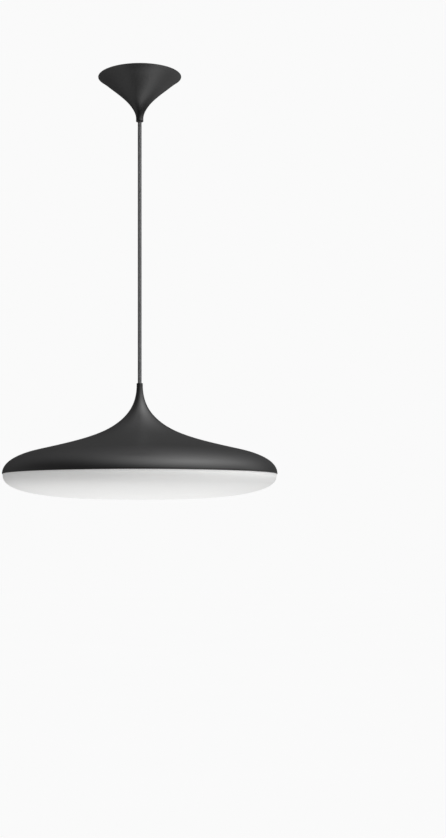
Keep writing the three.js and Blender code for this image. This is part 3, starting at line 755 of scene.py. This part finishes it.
def bowl_curve(radius, depth, steps):
    out = []
    for i in range(steps + 1):
        a = math.pi / 2 * i / steps
        # even steps along the curve need finer steps at both ends
        a = math.pi / 2 * (0.5 - 0.5 * math.cos(math.pi * i / steps))
        r = radius * max(0.0, math.cos(a)) ** (2 / BOWL_POWER)
        z = BOWL_EDGE - depth * max(0.0, math.sin(a)) ** (2 / BOWL_POWER)
        out.append((r, z))
    out[0] = (radius, BOWL_EDGE)
    out[-1] = (0.0, BOWL_EDGE - depth)
    return out


bowl_out = bowl_curve(BOWL_R, BOWL_DEPTH, 64)
bowl_in = bowl_curve(SPIGOT_R - BOWL_T, BOWL_DEPTH - BOWL_T, 64)
bowl_profile = (
    bowl_in[::-1]
    + rounded([(SPIGOT_R - BOWL_T, BOWL_EDGE), (SPIGOT_R - BOWL_T, SPIGOT_TOP), (SPIGOT_R, SPIGOT_TOP), (SPIGOT_R, BOWL_EDGE + 0.01)], [0, 0.7, 0.7, 0], 4, closed=False)[1:]
    + rounded([(SPIGOT_R, BOWL_EDGE), (BOWL_R, BOWL_EDGE), bowl_out[6]], [0, 0.5, 0], 4, closed=False)[1:-1]
    + bowl_out[6:]
)
bowl = lathe("bowl", bowl_profile, 256, [OPAL], closed=False)
keep(bowl, "bowl", "opal", "diffuser_side", "diffuser_floor")


# ------------------------------------------------------------------ bushes where the cable bends
mouth_bush = lathe(
    "mouth_bush",
    rounded([(3.5, -72.0), (3.5, -76.2), (4.2, -77.3), (4.95, -77.0), (4.95, -72.0)], [0.3, 0.6, 0.4, 0.4, 0.3]),
    48,
    [RUBBER],
)
keep(mouth_bush, "grommet", "black_rubber", "mouth_grommet")
neck_bush = lathe(
    "neck_bush",
    rounded([(3.5, -532.3), (3.5, -533.7), (3.86, -533.7), (3.86, -532.5), (3.72, -532.3)], [0.06, 0.06, 0.06, 0.08, 0.06]),
    48,
    [RUBBER],
)
keep(neck_bush, "neck", "black_rubber", "neck_bush")


# ------------------------------------------------------------------ fasteners, wires and pressed parts
def cylinder(r, z0, z1, n=32):
    """A cutter, or a plain core to build on."""
    return lathe("core", [(0, z0), (r, z0), (r, z1), (0, z1)], n, [], closed=False)


def threaded(r, depth, pitch, z0, z1):
    """Profile points of a thread's ridges from z0 to z1, none of them past r."""
    steps = max(1, int(abs(z1 - z0) / pitch))
    d = (z1 - z0) / steps
    out = []
    for i in range(steps):
        z = z0 + d * i
        out += [(r - depth, z + 0.08 * d), (r, z + 0.42 * d), (r, z + 0.58 * d), (r - depth, z + 0.92 * d)]
    return out


def pan_screw(name, material, head_r, head_z0, head_z1, shank_r, tip, drive=35):
    """A screw along -Z with a domed head, a cross recess and a threaded shank."""
    h = head_z1 - head_z0
    profile = [(0, head_z0)]
    profile += [(head_r * math.sin(a), head_z0 + h * 0.62 * (1 - math.cos(a)) ) for a in np.linspace(0.25, math.pi / 2, 9)]
    profile += [(head_r, head_z1 - 0.15), (head_r - 0.15, head_z1), (shank_r - 0.05, head_z1), (shank_r - 0.05, head_z1 + 0.5)]
    profile += threaded(shank_r - 0.02, 0.28, 0.7, head_z1 + 0.6, tip - 0.9)
    profile += [(shank_r - 0.35, tip - 0.8), (shank_r * 0.45, tip), (0, tip)]
    ob = lathe(name, profile, 32, [material], closed=False)
    a, w = head_r * 0.56, head_r * 0.13
    for k in range(2):
        bar = prism("recess", [(-a, -w), (a, -w), (a, w), (-a, w)], head_z0 - 1, head_z0 + h * 0.5, [material], 0)
        place(bar, turn(drive + 90 * k))
        cut(ob, bar)
    return ob


def slotted_pin(name, material, r, z0, z1, slot=0.3):
    """A headless screw along Z with a slot across its lower end."""
    ob = lathe(
        name,
        [(0, z0), (r - 0.25, z0), (r, z0 + 0.25)] + threaded(r, 0.22, 0.7, z0 + 1.0, z1 - 0.6) + [(r, z1 - 0.5), (r - 0.5, z1), (0, z1)],
        28,
        [material],
        closed=False,
    )
    bar = prism("slot", [(-r - 0.3, -slot), (r + 0.3, -slot), (r + 0.3, slot), (-r - 0.3, slot)], z0 - 1, z0 + 0.8, [material], 0)
    return cut(ob, bar)


def hexagon(across, turned_by=0):
    r = across / math.sqrt(3)
    return [(r * math.cos(math.radians(60 * i + turned_by)), r * math.sin(math.radians(60 * i + turned_by))) for i in range(6)]


def hex_body(name, material, across, z0, z1, chamfer=0.5):
    """A hexagon whose corners are turned off at both ends, as on a nut."""
    ob = prism(name, hexagon(across, 90), z0, z1, [material], 0)
    r = across / math.sqrt(3)
    f = across / 2
    drop = (r - f) * 0.58
    ring = lathe("turned", [(0, z0), (f, z0), (r + 0.01, z0 + drop), (r + 0.01, z1 - drop), (f, z1), (0, z1)], 48, [material], closed=False)
    return cut(ob, ring, operation="INTERSECT")


def stadium(cx, cy, length, width, n=12):
    """A slot's outline along X."""
    r, h = width / 2, (length - width) / 2
    out = [(cx + h + r * math.cos(a), cy + r * math.sin(a)) for a in np.linspace(-math.pi / 2, math.pi / 2, n)]
    return out + [(cx - h + r * math.cos(a), cy + r * math.sin(a)) for a in np.linspace(math.pi / 2, 3 * math.pi / 2, n)]


def strip_xz(name, outline, y0, y1, material, bevel=0.2):
    """A bent strip: its edge-on outline in X and Z, and its width along Y."""
    ob = prism(name, outline, y0, y1, [material], 0)
    place(ob, Matrix(((1, 0, 0, 0), (0, 0, 1, 0), (0, 1, 0, 0), (0, 0, 0, 1))))
    finish_mesh(ob.data, 40)
    if bevel:
        soften(ob, bevel, 2)
    return ob


def wire(name, points, material, body, slot, node, r=0.9):
    ob = sweep(name, catmull(points, 56), r, 18, [material], uv=True)
    return keep(ob, body, slot, node)


# ------------------------------------------------------------------ ceiling plate and what hangs on it
PLATE_R, PLATE_T = 58.0, 1.5
plate_profile = rounded(
    [(0, 0), (PLATE_R, 0), (PLATE_R, -4.5), (PLATE_R - 1.5, -4.5), (PLATE_R - 1.5, -PLATE_T), (0, -PLATE_T)],
    [0, 1.3, 0.3, 0.3, 0.6, 0],
    6,
    closed=False,
)
plate = lathe("ceiling_plate", plate_profile, 128, [ZINC], closed=False)
cut(
    plate,
    prism("c", stadium(-41, 0, 20, 5.5), -6, 1, [ZINC], 0),
    prism("c", stadium(41, 0, 20, 5.5), -6, 1, [ZINC], 0),
    place(cylinder(9.0, -6, 1, 48), move(0, -32, 0)),
    place(cylinder(2.2, -6, 1, 24), move(-21, 0, 0)),
    place(cylinder(2.2, -6, 1, 24), move(21, 0, 0)),
    place(cylinder(2.2, -6, 1, 24), move(31, 34, 0)),
)
keep(plate, "ceiling", "zinc_steel", "ceiling_plate")

UNDER, BASE_Z, STRIP_T = -1.8, -19.0, 1.5
stirrup_outline = rounded(
    [
        (26, UNDER), (15, UNDER), (15, BASE_Z), (-15, BASE_Z), (-15, UNDER), (-26, UNDER),
        (-26, UNDER - STRIP_T), (-16.5, UNDER - STRIP_T), (-16.5, BASE_Z - STRIP_T),
        (16.5, BASE_Z - STRIP_T), (16.5, UNDER - STRIP_T), (26, UNDER - STRIP_T),
    ],
    [0, 1.8, 1.0, 1.0, 1.8, 0, 0, 0.4, 2.4, 2.4, 0.4, 0],
    5,
)
stirrup = strip_xz("grip_stirrup", stirrup_outline, -9, 9, ZINC)
cut(
    stirrup,
    cylinder(5.35, BASE_Z - 4, BASE_Z + 2, 40),
    place(cylinder(2.2, -6, 0, 24), move(-21, 0, 0)),
    place(cylinder(2.2, -6, 0, 24), move(21, 0, 0)),
)
keep(stirrup, "ceiling", "zinc_steel", "grip_stirrup")
for node, x, spin in (("stirrup_screw_left", -21, 20), ("stirrup_screw_right", 21, 64)):
    keep(place(pan_screw(node + "_piece", ZINC, 3.6, -6.0, -3.6, 1.85, -0.4, spin), move(x, 0, 0)), "ceiling", "zinc_steel", node)

BORE = CABLE_R + 0.13
GRIP_FACE = -20.8
grip = hex_body("cord_grip", NYLON, 15, GRIP_FACE - 8, GRIP_FACE)
grip_turned = lathe(
    "turned",
    [(BORE, -12.0), (4.7, -12.0), (5.0, -12.3)]
    + threaded(5.0, 0.35, 1.0, -12.4, -20.2)
    + [(4.7, -20.4), (4.7, -24), (6.6, -24), (6.6, -29.4)]
    + [(6.6 - 2.0 * math.sin(a), -29.4 - 4.4 * (1 - math.cos(a))) for a in np.linspace(0.2, math.pi / 2, 8)]
    + [(4.2, -33.8), (3.6, -33.8), (BORE, -33.5)],
    48,
    [NYLON],
)
weld(grip, grip_turned)
cut(grip, cylinder(BORE, -40, 0, 48), place(cylinder(1.8, 2, 12, 24), move(0, 0, GRIP_FACE - 4) @ turn(90, "Y")))
keep(grip, "ceiling", "white_plastic", "cord_grip_body")
nut = hex_body("cord_grip_locknut", ZINC, 14, BASE_Z + 0.3, BASE_Z + 3.3)
cut(nut, cylinder(5.35, -25, -10, 40))
keep(nut, "ceiling", "zinc_steel", "cord_grip_nut")
pinch = slotted_pin("cord_grip_pinch_screw", BRASS, 1.45, -8.2, -3.7)
keep(place(pinch, move(0, 0, GRIP_FACE - 4) @ turn(-90, "Y")), "ceiling", "brass", "cord_grip_screw")

# three-pole terminal block: base, barrels, brass tunnels, screws in both rows
POLES = (-11, 0, 11)
block = prism("terminals", rounded([(-17, 14), (17, 14), (17, 32), (-17, 32)], 1.4), -13.0, UNDER, [NYLON], 0.5)
for x in POLES:
    weld(block, prism("barrel", rounded([(x - 4.6, 16.5), (x + 4.6, 16.5), (x + 4.6, 29.5), (x - 4.6, 29.5)], 1.6), -18.0, -10.0, [NYLON], 0.6))
for x in POLES:
    cut(
        block,
        place(cylinder(2.1, 0, 40, 28), move(x, 5, -8.2) @ turn(-90, "X")),
        place(cylinder(2.0, -20, -8.2, 28), move(x, 19.4, 0)),
        place(cylinder(2.0, -20, -8.2, 28), move(x, 26.6, 0)),
    )
for x in (-5.5, 5.5):
    cut(block, prism("groove", [(x - 0.35, 13), (x + 0.35, 13), (x + 0.35, 33), (x - 0.35, 33)], -14, -12.3, [NYLON], 0))
keep(block, "ceiling", "white_plastic", "terminal_block")
tunnels = []
for x in POLES:
    t = lathe("tunnel", rounded([(1.45, 0), (2.08, 0), (2.08, 13.6), (1.45, 13.6)], 0.12, 3), 28, [BRASS])
    place(t, move(x, 16.2, -8.2) @ turn(-90, "X"))
    tunnels.append(t)
keep(join("terminal_tunnels", tunnels), "ceiling", "brass")
for node, x, spin in (("terminal_screw_live", -11, 15), ("terminal_screw_neutral", 0, 80), ("terminal_screw_earth", 11, 140)):
    ob = slotted_pin(node + "_piece", ZINC, 1.6, -16.4, -9.8)
    keep(place(ob, move(x, 19.4, 0) @ turn(spin)), "ceiling", "zinc_steel", node)
rear = []
for x, spin in ((-11, 40), (0, 120), (11, 5)):
    rear.append(place(slotted_pin("rear", ZINC, 1.6, -16.9, -10.2), move(x, 26.6, 0) @ turn(spin)))
keep(join("terminal_screws_supply", rear), "ceiling", "zinc_steel")

for node, x, deg, material, slot in (
    ("live_lead", -11, -150, BROWN, "wire_brown"),
    ("neutral_lead", 0, 90, BLUE, "wire_blue"),
    ("earth_lead", 11, -30, EARTH, "wire_earth"),
):
    sx, sy = 1.35 * math.cos(math.radians(deg)), 1.35 * math.sin(math.radians(deg))
    route = [
        (sx, sy, -11.6), (sx, sy, -10.2), (sx * 1.1 + x * 0.06, sy + 1.0, -8.4),
        (sx * 0.6 + x * 0.4, 4.6, -6.4), (x * 0.86, 9.2, -6.9), (x, 12.4, -8.2), (x, 17.0, -8.2),
    ]
    wire(node + "_piece", route, material, "ceiling", slot, node)
bond = [(11, 29.4, -8.2), (11, 33.2, -8.2), (12.6, 36, -7), (16, 36, -5.2), (20, 34.4, -4.2), (26, 34, -3.95)]
wire("earth_bond_piece", bond, EARTH, "ceiling", "wire_earth", "earth_bond_lead")

circle = [(31 + 4.2 * math.cos(a), 34 + 4.2 * math.sin(a)) for a in np.linspace(0, 2 * math.pi, 41)[:-1]]
tag = prism("earth_ring", circle, -2.7, UNDER, [BRASS], 0.12)
weld(tag, prism("tongue", rounded([(21.5, 33.0), (30, 33.0), (30, 35.0), (21.5, 35.0)], [0.6, 0, 0, 0.6]), -2.7, UNDER, [BRASS], 0.1))
cut(tag, place(cylinder(2.2, -6, 0, 28), move(31, 34, 0)))
keep(tag, "ceiling", "brass", "earth_tag")
keep(place(pan_screw("earth_screw_piece", ZINC, 3.6, -5.4, -3.0, 1.85, -0.4, 12), move(31, 34, 0)), "ceiling", "zinc_steel", "earth_screw")

entry = lathe(
    "entry_grommet",
    rounded([(6.6, -3.6), (11.5, -3.6), (11.5, UNDER), (8.7, UNDER), (8.7, -0.3), (6.6, -0.3)], [0.6, 0.8, 0.1, 0.1, 0.5, 0.5], 5),
    64,
    [RUBBER],
)
place(entry, move(0, -32, 0))
keep(entry, "ceiling", "black_rubber", "mains_entry_grommet")

# ------------------------------------------------------------------ canopy's lock
collar = lathe(
    "lock_collar",
    rounded([(BORE, -56), (BORE, -71.4), (5.0, -71.4), (5.3, -69.0), (6.6, -62.4), (8.6, -57.2), (8.6, -56)], [0.3, 0.3, 0.3, 0, 0, 0.4, 0.4], 4),
    64,
    [NYLON],
)
cut(collar, place(cylinder(1.8, 2, 14, 24), move(0, 0, LOCK_Z) @ turn(-90, "X")))
keep(collar, "canopy", "white_plastic", "canopy_lock_collar")
grub = lathe(
    "grub",
    [(0, 3.6), (0.9, 3.6), (1.45, 4.1)] + threaded(1.45, 0.2, 0.6, 4.2, 7.3) + [(1.45, 7.4), (1.25, 7.6), (0, 7.6)],
    28,
    [ZINC],
    closed=False,
)
cut(grub, prism("socket", hexagon(1.4), 6.2, 9, [ZINC], 0))
place(grub, move(0, 0, LOCK_Z) @ turn(-90, "X"))
grub.name = "lock_screw"
keep(grub, "canopy", "zinc_steel", "canopy_lock_screw")

# ------------------------------------------------------------------ LED plate, boards, reflector and springs
LED_Z1 = -666.1
LED_Z0 = LED_Z1 - 1.5
led_plate = lathe("led_carrier", rounded([(0, LED_Z0), (188, LED_Z0), (188, LED_Z1), (0, LED_Z1)], [0, 0.4, 0.4, 0], 4, closed=False), 160, [WHITE], closed=False)
holes = [place(cylinder(1.9, -670, -660, 24), move(x, 0, 0)) for x in (-70, 70)]
holes.append(place(cylinder(4, -670, -660, 32), move(0, 74, 0)))
holes += [place(cylinder(1.7, -670, -660, 24), turn(deg) @ move(183, 0, 0)) for deg in (90, 210, 330)]
cut(led_plate, *holes)
keep(led_plate, "shade", "white_coat", "led_plate")
for i, (x, spin) in enumerate(((-70, 10), (70, 75))):
    keep(place(pan_screw("plate_screw_%d_piece" % (i + 1), ZINC, 3.2, -670.2, -667.9, 1.55, -662.6, spin), move(x, 0, 0)), "shade", "zinc_steel", "plate_screw_%d" % (i + 1))

BOARD_TOP, BOARD_LOW = -667.9, -669.1


def led_package():
    """A surface-mounted LED: white body, a recessed window of yellow phosphor and two soldered ends."""
    body = prism("body", rounded([(-1.6, -1.3), (1.6, -1.3), (1.6, 1.3), (-1.6, 1.3)], 0.2, 3), BOARD_LOW - 0.78, BOARD_LOW + 0.05, [LED_BODY], 0.08, 1)
    window = prism("window", rounded([(-1.15, -0.95), (1.15, -0.95), (1.15, 0.95), (-1.15, 0.95)], 0.45, 4), BOARD_LOW - 0.8, BOARD_LOW - 0.7, [PHOSPHOR], 0)
    ends = [
        prism("end", rounded([(s * 1.4 - 0.5, -1.05), (s * 1.4 + 0.5, -1.05), (s * 1.4 + 0.5, 1.05), (s * 1.4 - 0.5, 1.05)], 0.15, 2), BOARD_LOW - 0.22, BOARD_LOW + 0.05, [SOLDER], 0.06, 1)
        for s in (-1, 1)
    ]
    return join("package", [body, window, *ends])


def board(name, profile, rings, node):
    base = lathe("base", profile, 128, [MASK], closed=profile[0][0] > 0, smooth=30)
    one = led_package()
    parts = [base]
    for r, count, start in rings:
        for i in range(count):
            c = one.copy()
            c.data = one.data.copy()
            COLLECTION.objects.link(c)
            place(c, turn(start + 360 * i / count) @ move(r, 0, 0))
            parts.append(c)
    bpy.data.objects.remove(one)
    return keep(join(name, parts), "shade", "white_board", node)


board("led_disc", rounded([(0, BOARD_LOW), (54, BOARD_LOW), (54, BOARD_TOP), (0, BOARD_TOP)], [0, 0.15, 0.15, 0], 2, closed=False), [(18, 6, 0), (42, 10, 15)], "led_board_inner")
board("led_ring", rounded([(86, BOARD_LOW), (162, BOARD_LOW), (162, BOARD_TOP), (86, BOARD_TOP)], 0.15, 2), [(100, 10, 0), (125, 14, 7.5), (150, 18, 0)], "led_board_outer")
joints_of_solder = []
for x in (-1.3, 1.3):
    drop = lathe("drop", [(0, -671.5), (0.7, -671.35), (1.15, -670.8), (1.2, -670.1), (1.6, -669.4), (1.9, -669.15), (0, -669.05)], 24, [SOLDER], closed=False)
    joints_of_solder.append(place(drop, move(x * 1.6, 89.6, 0)))
keep(join("lead_solder", joints_of_solder), "shade", "spring_steel")

reflector = lathe(
    "reflector",
    rounded(
        [
            (178, BOARD_TOP), (178, BOARD_TOP - 1.4), (190.4, BOARD_TOP - 1.4), (225.2, -683.4), (225.2, -690.0),
            (227.0, -690.0), (227.0, -682.2), (191.0, BOARD_TOP),
        ],
        [0.2, 0.4, 4.0, 3.0, 0.6, 0.6, 4.0, 5.0],
        6,
    ),
    192,
    [WHITE],
)
cut(reflector, *[place(cylinder(1.7, -675, -660, 24), turn(deg) @ move(183, 0, 0)) for deg in (90, 210, 330)])
keep(reflector, "shade", "white_coat", "reflector_ring")
for i, deg in enumerate((90, 210, 330)):
    ob = pan_screw("reflector_screw_%d_piece" % (i + 1), ZINC, 2.9, -671.6, -669.6, 1.35, -663.5, 20 + 31 * i)
    keep(place(ob, turn(deg) @ move(183, 0, 0)), "shade", "zinc_steel", "reflector_screw_%d" % (i + 1))

SPRING_OUT = catmull([(227.65, 0, -689.6), (228.5, 0, -688.6), (229.9, 0, -686.3), (229.5, 0, -684.6), (228.55, 0, -682.4)], 22)
spring_line = [(float(p[0]), float(p[2])) for p in SPRING_OUT]
for i, deg in enumerate((30, 150, 270)):
    back = offset(spring_line, -0.45)
    ob = strip_xz("bowl_spring_%d_piece" % (i + 1), spring_line + back[::-1], -7, 7, SPRING, 0.08)
    cut(ob, place(prism("window", stadium(0, 0, 5.5, 2.2), -3, 3, [SPRING], 0), move(229, 0, -686) @ turn(90, "Y") @ turn(90)))
    place(ob, turn(deg))
    keep(ob, "shade", "spring_steel", "bowl_spring_%d" % (i + 1))


# ------------------------------------------------------------------ stage and light
FLOOR_Z = -4.0
pale = Nodes("pale_floor")
pale.set(
    Base_Color=pale.ramp(pale.noise(0.6, 2.0), [(0.2, (0.0, 0.0, 0.0)), (0.8, (0.004, 0.004, 0.004))]),
    Roughness=1.0,
    Emission_Color=(1.0, 1.0, 1.0),
    Emission_Strength=0.955,
    Specular_IOR_Level=0.0,
)
floor = build(
    "floor",
    [(-60, -60, FLOOR_Z), (60, -60, FLOOR_Z), (60, 60, FLOOR_Z), (-60, 60, FLOOR_Z)],
    [(0, 1, 2, 3)],
    [pale.material],
)
# the world already holds the floor's light, so it only has to be seen
floor.visible_diffuse = floor.visible_glossy = floor.visible_transmission = floor.visible_shadow = False

world = bpy.data.worlds.new("studio")
SCENE.world = world
world.use_nodes = True
wt = world.node_tree
for n in list(wt.nodes):
    wt.nodes.remove(n)


def wnode(kind, **values):
    n = wt.nodes.new(kind)
    for k, v in values.items():
        setattr(n, k, v)
    return n


def wmath(operation, a, b=None, c=None):
    n = wnode("ShaderNodeMath", operation=operation)
    for i, v in enumerate((a, b, c)):
        if v is None:
            continue
        if isinstance(v, (int, float)):
            n.inputs[i].default_value = v
        else:
            wt.links.new(v, n.inputs[i])
    return n.outputs[0]


where = wnode("ShaderNodeTexCoord").outputs["Generated"]


def lobe(azimuth, elevation, power):
    """1 in one direction, falling smoothly to 0 behind it. Azimuth 0 is towards -Y, 90 towards +X."""
    a, e = math.radians(azimuth), math.radians(elevation)
    d = wnode("ShaderNodeVectorMath", operation="DOT_PRODUCT")
    wt.links.new(where, d.inputs[0])
    d.inputs[1].default_value = (math.sin(a) * math.cos(e), -math.cos(a) * math.cos(e), math.sin(e))
    half = wmath("MULTIPLY_ADD", d.outputs["Value"], 0.5, 0.5)
    return wmath("POWER", wmath("MAXIMUM", half, 0.0), power)


LOBES = [
    # azimuth, elevation, power (how narrow), strength
    (18, 58, 14, 1.3),  # large soft lights, high in front and on the right
    (54, 32, 14, 1.49),
    (90, 58, 14, 1.27),
    (60, 55, 70, 1.37),
    (20, 40, 70, 0.61),
    (100, 40, 70, 0.46),
    (90, 27, 14, 0.25),
    (110, 12, 70, 0.49),
    (162, 58, 14, 0.1),
    (10, -65, 70, 1.57),  # soft light off the floor, in front and on the right
    (50, -65, 70, 1.51),
    (95, -60, 70, 0.88),
    (0, 90, 14, 0.37),  # ceiling
    (0, -90, 14, 0.71),  # light floor
    (126, -58, 14, 0.43),
    (-162, -58, 14, 0.28),
    (162, -32, 14, 0.39),
    (-90, -27, 14, 0.43),  # dim walls
    (-108, 0, 14, 0.03),
    (-126, 27, 14, 0.16),
]
total = None
for az, ele, narrow, strength in LOBES:
    one = wmath("MULTIPLY", lobe(az, ele, narrow), strength)
    total = one if total is None else wmath("ADD", total, one)
lit = wnode("ShaderNodeBackground")
lit.inputs["Color"].default_value = (1, 1, 1, 1)
wt.links.new(total, lit.inputs["Strength"])
seen = wnode("ShaderNodeBackground")
seen.inputs["Color"].default_value = (1, 1, 1, 1)
seen.inputs["Strength"].default_value = 0.956
path = wnode("ShaderNodeLightPath")
both = wnode("ShaderNodeMixShader")
out = wnode("ShaderNodeOutputWorld")
wt.links.new(path.outputs["Is Camera Ray"], both.inputs[0])
wt.links.new(lit.outputs[0], both.inputs[1])
wt.links.new(seen.outputs[0], both.inputs[2])
wt.links.new(both.outputs[0], out.inputs["Surface"])
